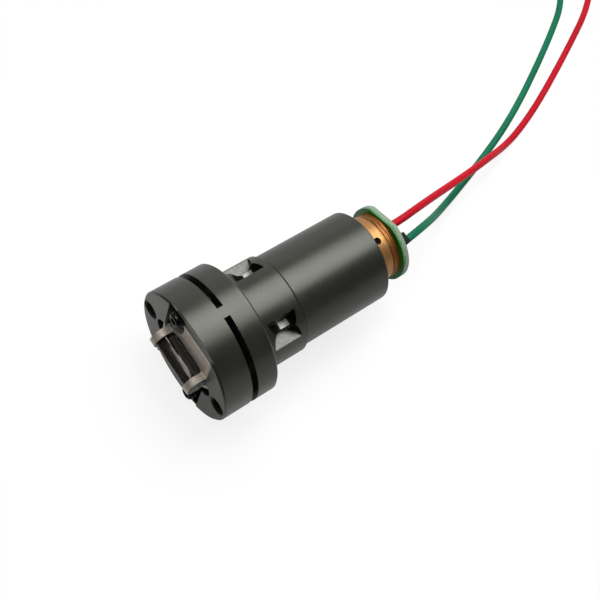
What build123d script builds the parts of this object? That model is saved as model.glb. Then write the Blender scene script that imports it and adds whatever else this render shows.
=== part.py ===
"""Line laser diode module with a flexure head, a rod lens, a brass laser insert and two leads.

The optical axis is Y. The light leaves towards -Y and the leads leave towards +Y.
The rod lens lies along X and the two flexure webs stand on +Z and -Z.
The origin is the middle of the 12 mm barrel that the module is clamped by. Sizes are in millimetres.
"""

import math
import os

from build123d import *

os.makedirs("parts", exist_ok=True)

# Barrel, the seat that a clamp ring or a bracket holds
barrel_wall = 1.67
barrel_length = 12.8
edge_chamfer = 0.2
sliding_clearance = 0.05
screw_clearance = 0.02

# Head and neck, one turned and milled piece
head_overhang = 2.0
head_length = 7.3
neck_step = 0.35
neck_length = 5.8
neck_chamfer = 0.12
spigot_wall = 0.97
spigot_length = 3.5
light_bore_ledge = 1.13

# Flexure slot, cut across the head and left whole only at the two webs
front_plate_thickness = 3.7
slot_width = 0.8
web_width = 1.3

# Lens channel milled into the front face, with its two half-round notches
rim_wall = 0.24
notch_wall = 0.24
notch_side = 1.2
notch_radius = 1.5
notch_depth = 2.2
channel_end_wall = 1.15
channel_depth = 1.6
channel_corner_radius = 0.5
rim_step_depth = 0.2

# Corner pockets in the neck, each made by two crossing flat-bottomed plunges
plunge_radius = 1.9
plunge_inset = 0.55
plunge_floor_drop = 1.33
plunge_from_head = 3.05

# Screws
adjusting_screw_radius = 1.25
adjusting_screw_length = 4.0
adjusting_socket_width = 1.3
locking_screw_radius = 1.0
locking_screw_length = 5.0
locking_screw_side = 1.67
locking_screw_end = 1.1
locking_socket_width = 0.9
socket_depth = 1.2
screw_recess_radius = 1.6
screw_recess_depth = 2.2
screw_end_chamfer = 0.25

# Rod lens and its seat
rod_radius = 1.25
rod_inset = 0.1
rod_centre_height = 0.56
rod_end_chamfer = 0.08
seat_side_gap = 0.2
seat_end_gap = 1.65
seat_sink = 0.4
seat_bite_radius = 3.05
seat_bite_side = 1.92
seat_bite_end = 1.7
seat_edge_chamfer = 0.35
strap_width = 0.9
strap_inset = 0.15
strap_thickness = 0.2
window_half_width = 1.8
window_end_wall = 0.05
window_corner_radius = 1.3
rod_clearance = 0.02

# Clear glue in the two half-round notches
glue_radius = 0.95
glue_sink = 0.35
glue_fillet = 0.25

# Brass laser insert
diode_wall = 1.46
housing_front_reach = 14.4
housing_rear_reach = 3.25
housing_chamfer = 0.2
groove_depth = 0.1
groove_width = 0.14
groove_from_rear = (0.55, 1.05)
cell_bore_wall = 1.03
lead_recess_wall = 0.68
diode_shoulder_thickness = 0.8
diode_shoulder_width = 0.55

# Laser diode in a 5.6 mm can
diode_base_radius = 2.8
diode_base_thickness = 1.2
diode_base_sink = 1.55
diode_cap_ledge = 1.02
diode_cap_length = 2.4
diode_cap_wall = 0.2
window_hole_ledge = 1.0
window_glass_gap = 0.4
window_glass_thickness = 0.25
lead_radius = 0.225
lead_circle_radius = 1.27
lead_end_height = 0.6
press_clearance = 0.02

# Screw that locks the diode in the brass insert
housing_screw_radius = 0.45
housing_screw_angle = 80.0
housing_screw_sink = 0.35
housing_socket_width = 0.4
housing_socket_depth = 0.4

# Collimating lens, its threaded cell and the spring behind it
cell_length = 5.0
cell_rear_gap = 4.0
cell_wall = 0.81
cell_lens_pocket_depth = 1.9
cell_ledge = 0.62
cell_mouth_wall = 0.63
cell_mouth_depth = 1.6
spanner_slot_width = 0.8
spanner_slot_depth = 0.7
lens_clearance = 0.02
lens_edge_thickness = 1.0
lens_bulge = 0.6
spring_wire_width = 0.36
spring_side_gap = 0.2
spring_turns = 4

# Circuit board and what is soldered to it
board_overhang = 0.67
board_flat_depth = 0.4
board_turn = 20.7
board_thickness = 0.85
board_tick_radius = 0.3
board_tick_angle = 118.0
lead_hole_radius = 0.4
chip_size = (1.7, 0.85, 0.8)
chip_inset = 0.75
chip_x = 2.05
resistor_size = (0.8, 0.45, 1.6)
resistor_inset = 1.35
resistor_z = -0.6
capacitor_size = (2.0, 0.9, 1.25)
capacitor_inset = 1.25
capacitor_x = 0.2
lead_solder_radius = 0.55
lead_solder_height = 0.45
wire_solder_radius = 0.8
wire_solder_height = 0.6
solder_taper = 20

# Leads: insulated wires that end in a stripped and tinned length
wire_radius = 0.5
tip_radius = 0.25
tip_length = 4.0
arc_share = 0.45

# Places along the axis, from the front to the rear
barrel_front = -barrel_length / 2
barrel_rear = barrel_length / 2
head_rear = barrel_front - neck_length
face = head_rear - head_length
slot_front = face + front_plate_thickness
slot_rear = slot_front + slot_width
seat_top = face + seat_sink
seat_bottom = face + channel_depth
rod_axis = face - rod_centre_height
housing_front = barrel_rear - housing_front_reach
board_front = barrel_rear + housing_rear_reach
board_rear = board_front + board_thickness
diode_rear = board_front - diode_base_sink
diode_front = diode_rear - diode_base_thickness
shoulder_front = diode_front - diode_shoulder_thickness
cell_rear = shoulder_front - cell_rear_gap
cell_front = cell_rear - cell_length

# Sizes across the axis that follow from the ones above, from the diode outwards
housing_radius = diode_base_radius + press_clearance + diode_wall
housing_bore_radius = housing_radius + sliding_clearance
barrel_radius = housing_bore_radius + barrel_wall
spigot_radius = housing_bore_radius + spigot_wall
neck_radius = barrel_radius + neck_step
head_radius = neck_radius + head_overhang
table_height = -head_radius
light_bore_radius = housing_bore_radius - light_bore_ledge
plunge_offset = neck_radius - plunge_inset
plunge_floor = housing_bore_radius - plunge_floor_drop
diode_cap_radius = diode_base_radius - diode_cap_ledge
window_hole_radius = diode_cap_radius - window_hole_ledge
window_glass_radius = diode_cap_radius - window_glass_gap
adjusting_hole_radius = adjusting_screw_radius + screw_clearance
adjusting_screw_offset = head_radius - rim_wall - adjusting_hole_radius
notch_reach = adjusting_screw_offset - adjusting_hole_radius - notch_wall
channel_half_width = notch_reach - notch_side
channel_half_length = head_radius - channel_end_wall
locking_screw_x = channel_half_width - locking_screw_side
locking_screw_z = channel_half_length - locking_screw_end
seat_half_width = channel_half_width - seat_side_gap
seat_half_length = channel_half_length - seat_end_gap
strap_offset = seat_half_width - strap_inset - strap_width / 2
window_half_length = strap_offset - strap_width / 2 - window_end_wall
rod_length = 2 * (seat_half_width - rod_inset)
cell_bore_radius = housing_radius - cell_bore_wall
lead_recess_radius = housing_radius - lead_recess_wall
cell_radius = cell_bore_radius - screw_clearance
cell_lens_pocket_radius = cell_radius - cell_wall
lens_radius = cell_lens_pocket_radius - lens_clearance
cell_aperture_radius = cell_lens_pocket_radius - cell_ledge
cell_mouth_radius = cell_radius - cell_mouth_wall
spring_coil_radius = cell_bore_radius - spring_side_gap - spring_wire_width / 2
board_radius = housing_radius + board_overhang
board_flat_distance = board_radius - board_flat_depth
chip_place = (chip_x, board_flat_distance - chip_inset)
resistor_place = (resistor_inset - board_flat_distance, resistor_z)
capacitor_place = (capacitor_x, capacitor_inset - board_flat_distance)


def across(y):
    """A plane square to the axis at y: its x is X, its y is Z and its normal points to the front."""
    return Plane.XZ.offset(-y)


def turned(points):
    """A face in the plane of X and Y, from (radius, y) points, for turning about the axis."""
    with BuildSketch(Plane.XY) as profile:
        with BuildLine():
            Polyline(*points, close=True)
        make_face()
    return profile.sketch


def set_screw(radius, length, top, socket_width, places):
    """Socket set screws with their sockets to the front, as separate solids in one part."""
    with BuildPart() as screws:
        with BuildSketch(across(top)):
            with Locations(*places):
                Circle(radius)
        extrude(amount=-length)
        ends = screws.edges().filter_by(GeomType.CIRCLE)
        chamfer(ends, screw_end_chamfer)
        with BuildSketch(across(top)):
            with Locations(*places):
                RegularPolygon(socket_width / 2, 6, major_radius=False)
        extrude(amount=-socket_depth, mode=Mode.SUBTRACT)
    return screws


# Flexure head and neck
with BuildPart() as flexure_head:
    revolve(
        turned(
            [
                (light_bore_radius, face),
                (head_radius - edge_chamfer, face),
                (head_radius, face + edge_chamfer),
                (head_radius, head_rear - edge_chamfer),
                (head_radius - edge_chamfer, head_rear),
                (neck_radius, head_rear),
                (neck_radius, barrel_front - neck_chamfer),
                (neck_radius - neck_chamfer, barrel_front),
                (spigot_radius, barrel_front),
                (spigot_radius, barrel_front + spigot_length),
                (housing_bore_radius, barrel_front + spigot_length),
                (housing_bore_radius, slot_rear),
                (light_bore_radius, slot_rear),
            ]
        ),
        axis=Axis.Y,
    )
    # Pocket for the lens seat, its lowered rim and the two half-round notches beside it
    with BuildSketch(across(face)):
        RectangleRounded(2 * channel_half_width, 2 * channel_half_length, channel_corner_radius)
    extrude(amount=-channel_depth, mode=Mode.SUBTRACT)
    with BuildSketch(across(face)):
        Rectangle(2 * channel_half_width, 2 * head_radius)
    extrude(amount=-rim_step_depth, mode=Mode.SUBTRACT)
    notch_centre = notch_reach - notch_radius
    with BuildSketch(across(face)):
        with Locations((notch_centre, 0), (-notch_centre, 0)):
            Circle(notch_radius)
    extrude(amount=-notch_depth, mode=Mode.SUBTRACT)
    # Recess round each locking screw
    with BuildSketch(across(face)):
        with Locations((-locking_screw_x, locking_screw_z), (locking_screw_x, -locking_screw_z)):
            Circle(screw_recess_radius)
        Rectangle(2 * channel_half_width, 2 * channel_half_length, mode=Mode.INTERSECT)
    extrude(amount=-screw_recess_depth, mode=Mode.SUBTRACT)
    # Slot right across the head, apart from the two webs
    with BuildSketch(across(slot_front)):
        Circle(head_radius + edge_chamfer)
        Rectangle(web_width, 2 * head_radius + 4 * edge_chamfer, mode=Mode.SUBTRACT)
    extrude(amount=-slot_width, mode=Mode.SUBTRACT)
    # Tapped holes through the front plate
    with BuildSketch(across(face)):
        with Locations((adjusting_screw_offset, 0), (-adjusting_screw_offset, 0)):
            Circle(adjusting_hole_radius)
        with Locations((-locking_screw_x, locking_screw_z), (locking_screw_x, -locking_screw_z)):
            Circle(locking_screw_radius + screw_clearance)
    extrude(amount=-front_plate_thickness, mode=Mode.SUBTRACT)
    # Four corner pockets in the neck, one pair of crossing plunges in each
    plunge_y = head_rear + plunge_from_head
    for side in (1, -1):
        with BuildSketch(Plane.XY.offset(side * plunge_floor)):
            with Locations((plunge_offset, plunge_y), (-plunge_offset, plunge_y)):
                Circle(plunge_radius)
        extrude(amount=side * head_radius, mode=Mode.SUBTRACT)
        with BuildSketch(Plane.YZ.offset(side * plunge_floor)):
            with Locations((plunge_y, plunge_offset), (plunge_y, -plunge_offset)):
                Circle(plunge_radius)
        extrude(amount=side * head_radius, mode=Mode.SUBTRACT)
flexure_head.part.label = "flexure_head"
export_step(flexure_head.part, "parts/flexure_head.step")

# Barrel
with BuildPart() as barrel:
    socket_radius = spigot_radius + sliding_clearance
    revolve(
        turned(
            [
                (socket_radius, barrel_front),
                (barrel_radius - edge_chamfer, barrel_front),
                (barrel_radius, barrel_front + edge_chamfer),
                (barrel_radius, barrel_rear - edge_chamfer),
                (barrel_radius - edge_chamfer, barrel_rear),
                (housing_bore_radius, barrel_rear),
                (housing_bore_radius, barrel_front + spigot_length),
                (socket_radius, barrel_front + spigot_length),
            ]
        ),
        axis=Axis.Y,
    )
barrel.part.label = "barrel"
export_step(barrel.part, "parts/barrel.step")

# Set screws in the front plate, with their tips against the rear wall of the slot
adjusting_screws = set_screw(
    adjusting_screw_radius,
    adjusting_screw_length,
    slot_rear - adjusting_screw_length,
    adjusting_socket_width,
    [(adjusting_screw_offset, 0), (-adjusting_screw_offset, 0)],
)
adjusting_screws.part.label = "adjusting_screws"
export_step(adjusting_screws.part, "parts/adjusting_screws.step")

locking_screws = set_screw(
    locking_screw_radius,
    locking_screw_length,
    slot_rear - locking_screw_length,
    locking_socket_width,
    [(-locking_screw_x, locking_screw_z), (locking_screw_x, -locking_screw_z)],
)
locking_screws.part.label = "locking_screws"
export_step(locking_screws.part, "parts/locking_screws.step")

# Lens seat: a plate with a groove for the rod, a window under it and a strap over each end of it
with BuildPart() as lens_seat:
    with BuildSketch(across(seat_top)) as plate:
        Rectangle(2 * seat_half_width, 2 * seat_half_length)
        bite_x = locking_screw_x + seat_bite_side
        bite_z = locking_screw_z - seat_bite_end
        with Locations((-bite_x, bite_z), (bite_x, -bite_z)):
            Circle(seat_bite_radius, mode=Mode.SUBTRACT)
    extrude(amount=-(seat_bottom - seat_top))
    for side in (1, -1):
        with BuildSketch(Plane.YZ.offset(side * strap_offset)):
            with Locations((rod_axis, 0)):
                Circle(rod_radius + rod_clearance + strap_thickness)
            with Locations(((rod_axis + seat_top) / 2, 0)):
                Rectangle(seat_top - rod_axis, 2 * (rod_radius + rod_clearance + strap_thickness))
        extrude(amount=strap_width / 2, both=True)
    with BuildSketch(Plane.YZ):
        with Locations((rod_axis, 0)):
            Circle(rod_radius + rod_clearance)
    extrude(amount=seat_half_width + strap_width, both=True, mode=Mode.SUBTRACT)
    with BuildSketch(across(face - 2 * rod_radius)):
        RectangleRounded(2 * window_half_length, 2 * window_half_width, window_corner_radius)
    extrude(amount=-(2 * rod_radius + channel_depth), mode=Mode.SUBTRACT)
    plate_corners = (
        lens_seat.edges()
        .filter_by(Axis.Y)
        .filter_by(lambda e: abs(e.center().X) > seat_half_width - 0.01)
        .filter_by(lambda e: abs(e.center().Z) > seat_half_length - 0.01)
    )
    chamfer(plate_corners, seat_edge_chamfer)
lens_seat.part.label = "lens_seat"
export_step(lens_seat.part, "parts/lens_seat.step")

# Rod lens
with BuildPart() as rod_lens:
    with BuildSketch(Plane.YZ):
        with Locations((rod_axis, 0)):
            Circle(rod_radius)
    extrude(amount=rod_length / 2, both=True)
    chamfer(rod_lens.edges().filter_by(GeomType.CIRCLE), rod_end_chamfer)
rod_lens.part.label = "rod_lens"
export_step(rod_lens.part, "parts/rod_lens.step")

# Dabs of clear glue that hold the lens seat, each on the floor of its notch
with BuildPart() as seat_glue:
    for side in (1, -1):
        with BuildSketch(across(face + notch_depth)):
            with Locations((side * seat_half_width, 0)):
                Circle(glue_radius)
            with Locations((side * (seat_half_width - glue_radius), 0)):
                Rectangle(2 * glue_radius, 2 * glue_radius, mode=Mode.SUBTRACT)
        extrude(amount=notch_depth - glue_sink)
    fillet(seat_glue.faces().filter_by(Axis.Y).group_by(Axis.Y)[0].edges(), glue_fillet)
seat_glue.part.label = "seat_glue"
export_step(seat_glue.part, "parts/seat_glue.step")

# Brass laser insert, with the bore for the lens cell in front and the diode's seat behind
shoulder_radius = diode_base_radius - diode_shoulder_width
grooves = []
for distance in sorted(groove_from_rear, reverse=True):
    groove_start = board_front - distance
    grooves.append((housing_radius, groove_start))
    grooves.append((housing_radius - groove_depth, groove_start + groove_width / 2))
    grooves.append((housing_radius, groove_start + groove_width))
with BuildPart() as laser_housing:
    revolve(
        turned(
            [
                (cell_bore_radius, housing_front),
                (housing_radius - housing_chamfer, housing_front),
                (housing_radius, housing_front + housing_chamfer),
                *grooves,
                (housing_radius, board_front),
                (lead_recess_radius, board_front),
                (lead_recess_radius, diode_rear),
                (diode_base_radius + press_clearance, diode_rear),
                (diode_base_radius + press_clearance, diode_front),
                (shoulder_radius, diode_front),
                (shoulder_radius, shoulder_front),
                (cell_bore_radius, shoulder_front),
            ]
        ),
        axis=Axis.Y,
    )
    screw_y = (diode_front + diode_rear) / 2
    screw_turn = math.radians(housing_screw_angle)
    screw_way = Vector(math.cos(screw_turn), 0, math.sin(screw_turn))
    screw_start = Vector(0, screw_y, 0) + screw_way * (diode_base_radius + press_clearance)
    screw_plane = Plane(origin=screw_start, x_dir=(0, 1, 0), z_dir=screw_way)
    with BuildSketch(screw_plane):
        Circle(housing_screw_radius + screw_clearance)
    extrude(amount=housing_radius, mode=Mode.SUBTRACT)
    with BuildSketch(screw_plane):
        Circle(housing_screw_radius + screw_clearance)
    extrude(amount=-press_clearance - (diode_base_radius - shoulder_radius), mode=Mode.SUBTRACT)
laser_housing.part.label = "laser_housing"
export_step(laser_housing.part, "parts/laser_housing.step")

# Screw that locks the diode, just below the outside of the brass
with BuildPart() as housing_screw:
    with BuildSketch(screw_plane):
        Circle(housing_screw_radius)
    screw_length = housing_radius - housing_screw_sink - diode_base_radius - press_clearance
    extrude(amount=screw_length)
    with BuildSketch(screw_plane.offset(screw_length)):
        RegularPolygon(housing_socket_width / 2, 6, major_radius=False)
    extrude(amount=-housing_socket_depth, mode=Mode.SUBTRACT)
housing_screw.part.label = "housing_screw"
export_step(housing_screw.part, "parts/housing_screw.step")

# Threaded cell of the collimating lens
with BuildPart() as lens_cell:
    revolve(
        turned(
            [
                (cell_mouth_radius, cell_front),
                (cell_radius, cell_front),
                (cell_radius, cell_rear),
                (cell_lens_pocket_radius, cell_rear),
                (cell_lens_pocket_radius, cell_rear - cell_lens_pocket_depth),
                (cell_aperture_radius, cell_rear - cell_lens_pocket_depth),
                (cell_aperture_radius, cell_front + cell_mouth_depth),
            ]
        ),
        axis=Axis.Y,
    )
    with BuildSketch(across(cell_front)):
        Rectangle(2 * cell_radius, spanner_slot_width)
    extrude(amount=-spanner_slot_depth, mode=Mode.SUBTRACT)
lens_cell.part.label = "lens_cell"
export_step(lens_cell.part, "parts/lens_cell.step")

# Collimating lens in the rear of its cell, flat in front and bulging towards the diode
with BuildPart() as collimating_lens:
    lens_front = cell_rear - cell_lens_pocket_depth
    lens_rear = lens_front + lens_edge_thickness + lens_bulge
    ball_radius = (lens_radius**2 + lens_bulge**2) / (2 * lens_bulge)
    with BuildSketch(across(lens_front)):
        Circle(lens_radius)
    extrude(amount=-(lens_rear - lens_front))
    with Locations((0, lens_rear - ball_radius, 0)):
        Sphere(ball_radius, rotation=(90, 0, 0), mode=Mode.INTERSECT)
collimating_lens.part.label = "collimating_lens"
export_step(collimating_lens.part, "parts/collimating_lens.step")

# Spring of square wire that keeps the lens cell from turning in its thread
with BuildPart() as cell_spring:
    spring_height = cell_rear_gap - spring_wire_width
    spring_pitch = spring_height / spring_turns
    spring_start = (0, cell_rear + spring_wire_width / 2, 0)
    with BuildLine() as coil:
        Helix(spring_pitch, spring_height, spring_coil_radius, center=spring_start, direction=(0, 1, 0))
    with BuildSketch(Plane(origin=coil.line @ 0, z_dir=coil.line % 0)):
        Rectangle(spring_wire_width, spring_wire_width)
    sweep(path=coil.wires()[0], is_frenet=True)
cell_spring.part.label = "cell_spring"
export_step(cell_spring.part, "parts/cell_spring.step")

# Laser diode: base, cap, window and three leads
with BuildPart() as diode_base:
    with BuildSketch(across(diode_front)):
        Circle(diode_base_radius)
    extrude(amount=-diode_base_thickness)
    lead_places = [(lead_circle_radius, 0), (-lead_circle_radius, 0), (0, -lead_circle_radius)]
    with BuildSketch(across(diode_front)):
        with Locations(*lead_places):
            Circle(lead_radius)
    extrude(amount=-diode_base_thickness, mode=Mode.SUBTRACT)
diode_base.part.label = "diode_base"
export_step(diode_base.part, "parts/diode_base.step")

with BuildPart() as diode_leads:
    lead_end = board_rear + lead_end_height
    with BuildSketch(across(diode_front)):
        with Locations(*lead_places):
            Circle(lead_radius)
    extrude(amount=-(lead_end - diode_front))
diode_leads.part.label = "diode_leads"
export_step(diode_leads.part, "parts/diode_leads.step")

with BuildPart() as diode_cap:
    cap_front = diode_front - diode_cap_length
    inner_radius = diode_cap_radius - diode_cap_wall
    revolve(
        turned(
            [
                (window_hole_radius, cap_front),
                (diode_cap_radius, cap_front),
                (diode_cap_radius, diode_front),
                (inner_radius, diode_front),
                (inner_radius, cap_front + diode_cap_wall),
                (window_hole_radius, cap_front + diode_cap_wall),
            ]
        ),
        axis=Axis.Y,
    )
diode_cap.part.label = "diode_cap"
export_step(diode_cap.part, "parts/diode_cap.step")

with BuildPart() as diode_window:
    with BuildSketch(across(cap_front + diode_cap_wall)):
        Circle(window_glass_radius)
    extrude(amount=-window_glass_thickness)
diode_window.part.label = "diode_window"
export_step(diode_window.part, "parts/diode_window.step")

# Circuit board: a disc with two sawn flats, drilled for the diode's leads
with BuildPart() as circuit_board:
    with BuildSketch(across(board_front)):
        Circle(board_radius)
        with Locations(Location((0, 0), board_turn)):
            Rectangle(2 * board_radius, 2 * board_flat_distance, mode=Mode.INTERSECT)
        with Locations(*lead_places):
            Circle(lead_hole_radius, mode=Mode.SUBTRACT)
        tick_turn = math.radians(board_tick_angle)
        with Locations((board_radius * math.cos(tick_turn), board_radius * math.sin(tick_turn))):
            Circle(board_tick_radius, mode=Mode.SUBTRACT)
    extrude(amount=-board_thickness)
circuit_board.part.label = "circuit_board"
export_step(circuit_board.part, "parts/circuit_board.step")


def on_board(size, place):
    """A small component on the rear of the board, with size (x, height, z) and place (x, z)."""
    with BuildPart() as component:
        with BuildSketch(across(board_rear)):
            with Locations(place):
                Rectangle(size[0], size[2])
        extrude(amount=-size[1])
        chamfer(component.faces().sort_by(Axis.Y)[-1].edges(), min(size) / 10)
    return component


driver_chip = on_board(chip_size, chip_place)
driver_chip.part.label = "driver_chip"
export_step(driver_chip.part, "parts/driver_chip.step")

sense_resistor = on_board(resistor_size, resistor_place)
sense_resistor.part.label = "sense_resistor"
export_step(sense_resistor.part, "parts/sense_resistor.step")

filter_capacitor = on_board(capacitor_size, capacitor_place)
filter_capacitor.part.label = "filter_capacitor"
export_step(filter_capacitor.part, "parts/filter_capacitor.step")

# Leads, from the board down to the surface and along it, with their points chosen by hand
lying = table_height + wire_radius
wire_start = board_rear + wire_solder_height
red_route = [
    (-0.7, wire_start, 2.0),
    (-0.7, 13.2, 2.0),
    (-1.2, 16.0, 1.75),
    (-1.7, 19.8, 0.7),
    (-2.2, 23.8, -0.8),
    (-2.85, 28.4, -2.5),
    (-3.4, 32.7, -3.6),
    (-3.9, 36.6, -5.0),
    (-4.6, 40.4, -7.0),
    (-5.9, 44.6, lying),
    (-8.3, 50.3, lying),
    (-11.3, 57.5, lying),
    (-14.9, 65.0, lying),
    (-18.6, 72.4, lying),
    (-23.6, 78.6, lying),
    (-30.0, 81.8, lying),
]
green_route = [
    (2.05, wire_start, 1.9),
    (2.05, 13.0, 1.9),
    (1.6, 15.6, 1.2),
    (0.65, 19.0, -0.9),
    (-0.4, 22.3, -3.8),
    (-1.3, 25.3, -6.4),
    (-2.4, 28.6, -7.7),
    (-3.8, 32.5, lying),
    (-5.3, 36.8, lying),
    (-7.2, 42.4, lying),
    (-10.0, 48.7, lying),
    (-13.65, 55.7, lying),
    (-17.0, 62.7, lying),
    (-21.6, 69.0, lying),
    (-27.4, 73.8, lying),
    (-34.2, 75.8, lying),
]


def wire(route, name):
    """An insulated wire along the route, as straight runs joined by tangent arcs."""
    points = [Vector(*point) for point in route]
    radii = []
    for before, here, after in zip(points, points[1:], points[2:]):
        half_turn = math.radians((here - before).get_angle(after - here)) / 2
        shorter = min((here - before).length, (after - here).length)
        radii.append(arc_share * shorter / math.tan(half_turn))
    with BuildPart() as tube:
        with BuildLine() as path:
            FilletPolyline(*points, radius=radii)
        line = path.wires()[0]
        with BuildSketch(Plane(origin=line @ 0, z_dir=line % 0)):
            Circle(wire_radius)
        sweep()
    length = line.length
    print(name, "radii", [round(radius, 1) for radius in radii])
    print(name, "length", round(length, 2), "volume", round(tube.part.volume, 3))
    print(name, "section x length", round(math.pi * wire_radius**2 * length, 3))
    return tube, line


def wire_tip(line):
    """The stripped and tinned end of a wire."""
    with BuildPart() as tip:
        with BuildSketch(Plane(origin=line @ 1, z_dir=line % 1)):
            Circle(tip_radius)
        extrude(amount=tip_length)
    return tip


red_wire, red_line = wire(red_route, "red_wire")
red_wire.part.label = "red_wire"
export_step(red_wire.part, "parts/red_wire.step")

green_wire, green_line = wire(green_route, "green_wire")
green_wire.part.label = "green_wire"
export_step(green_wire.part, "parts/green_wire.step")

red_wire_tip = wire_tip(red_line)
red_wire_tip.part.label = "red_wire_tip"
export_step(red_wire_tip.part, "parts/red_wire_tip.step")

green_wire_tip = wire_tip(green_line)
green_wire_tip.part.label = "green_wire_tip"
export_step(green_wire_tip.part, "parts/green_wire_tip.step")

# Solder joints of the diode's leads, each a cone round its lead
with BuildPart() as lead_solder:
    with BuildSketch(across(board_rear)):
        with Locations(*lead_places):
            Circle(lead_solder_radius)
    extrude(amount=-lead_solder_height, taper=solder_taper)
    with BuildSketch(across(board_rear)):
        with Locations(*lead_places):
            Circle(lead_radius)
    extrude(amount=-lead_end_height, mode=Mode.SUBTRACT)
lead_solder.part.label = "lead_solder"
export_step(lead_solder.part, "parts/lead_solder.step")

# Solder joints that the two wires leave from
with BuildPart() as wire_solder:
    with BuildSketch(across(board_rear)):
        with Locations((red_route[0][0], red_route[0][2]), (green_route[0][0], green_route[0][2])):
            Circle(wire_solder_radius)
    extrude(amount=-wire_solder_height, taper=solder_taper)
wire_solder.part.label = "wire_solder"
export_step(wire_solder.part, "parts/wire_solder.step")
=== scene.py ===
"""Looks of a small laser line module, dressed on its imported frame."""

import logging
import math
from contextlib import contextmanager
from dataclasses import dataclass
from enum import Enum
from typing import Callable, Iterator, Optional, Self, Sequence
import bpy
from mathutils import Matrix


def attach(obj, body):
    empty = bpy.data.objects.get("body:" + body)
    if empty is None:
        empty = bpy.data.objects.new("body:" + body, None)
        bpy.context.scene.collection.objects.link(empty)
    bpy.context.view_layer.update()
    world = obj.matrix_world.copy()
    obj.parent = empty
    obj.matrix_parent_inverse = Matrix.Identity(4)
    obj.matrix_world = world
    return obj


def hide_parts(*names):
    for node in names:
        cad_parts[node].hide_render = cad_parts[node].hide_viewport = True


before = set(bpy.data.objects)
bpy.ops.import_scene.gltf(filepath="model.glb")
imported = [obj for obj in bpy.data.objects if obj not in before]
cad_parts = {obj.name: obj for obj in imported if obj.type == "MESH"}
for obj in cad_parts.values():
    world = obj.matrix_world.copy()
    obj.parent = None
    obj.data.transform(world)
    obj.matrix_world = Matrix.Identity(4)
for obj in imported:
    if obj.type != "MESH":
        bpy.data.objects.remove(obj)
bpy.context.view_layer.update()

import bmesh
import bpy
from mathutils import Matrix, Vector

log = logging.getLogger("laser_module")

MM = 0.001
TABLE_HEIGHT = -8.35
FACE = -19.5
BOARD_FRONT = 9.65
BOARD_REAR = 10.5
WIRE_SPOTS = ((-0.7, 2.0), (2.05, 1.9))
LEAD_SPOTS = ((1.27, 0.0), (-1.27, 0.0), (0.0, -1.27))

Point = tuple[float, float, float]
Colour = tuple[float, float, float]
Pair = tuple[float, float]
Pairs = Sequence[Pair]
Test = Callable[[Vector, Vector], bool]


def metres(point: Sequence[float]) -> Vector:
    """A point in millimetres as a vector in metres."""
    return Vector(point) * MM


def srgb(red: int, green: int, blue: int) -> Colour:
    """A colour as it is read from a screen, as the linear colour that a shader takes."""
    return tuple(pow(value / 255, 2.2) for value in (red, green, blue))


def operator(operation: str, swapped: bool = False) -> Callable[..., "Signal"]:
    """Makes a method that joins a signal and another number with one Math node.

    Args:
        operation: The Math node's operation.
        swapped: Whether the other number comes first.

    Returns:
        The method.
    """

    def join(signal: "Signal", other: object = 0.0) -> "Signal":
        """Joins the two and gives the node's result."""
        inputs = {0: other, 1: signal} if swapped else {0: signal, 1: other}
        return Signal(signal.bench, signal.bench.node("Math", {"operation": operation}, inputs).outputs[0])

    return join


@dataclass(frozen=True)
class Signal:
    """A number that varies over a surface. Python's own operators on it add Math nodes."""

    bench: "Bench"
    socket: bpy.types.NodeSocket

    __add__ = __radd__ = operator("ADD")
    __sub__ = operator("SUBTRACT")
    __rsub__ = operator("SUBTRACT", swapped=True)
    __mul__ = __rmul__ = operator("MULTIPLY")
    __truediv__ = operator("DIVIDE")
    __pow__ = operator("POWER")
    __gt__ = operator("GREATER_THAN")
    __lt__ = operator("LESS_THAN")
    __abs__ = operator("ABSOLUTE")
    smallest = operator("MINIMUM")
    largest = operator("MAXIMUM")

    def within(self, low: float, high: float) -> "Signal":
        """One between two limits, otherwise zero."""
        return (self > low) * (self < high)

    def step(self, low: float, high: float) -> "Signal":
        """Runs smoothly from zero at low to one at high.

        Args:
            low: Where the result is zero.
            high: Where the result is one.

        Returns:
            The smoothed signal.
        """
        values = {"Value": self, "From Min": low, "From Max": high}
        node = self.bench.node("MapRange", {"interpolation_type": "SMOOTHSTEP"}, values)
        return Signal(self.bench, node.outputs["Result"])


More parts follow.
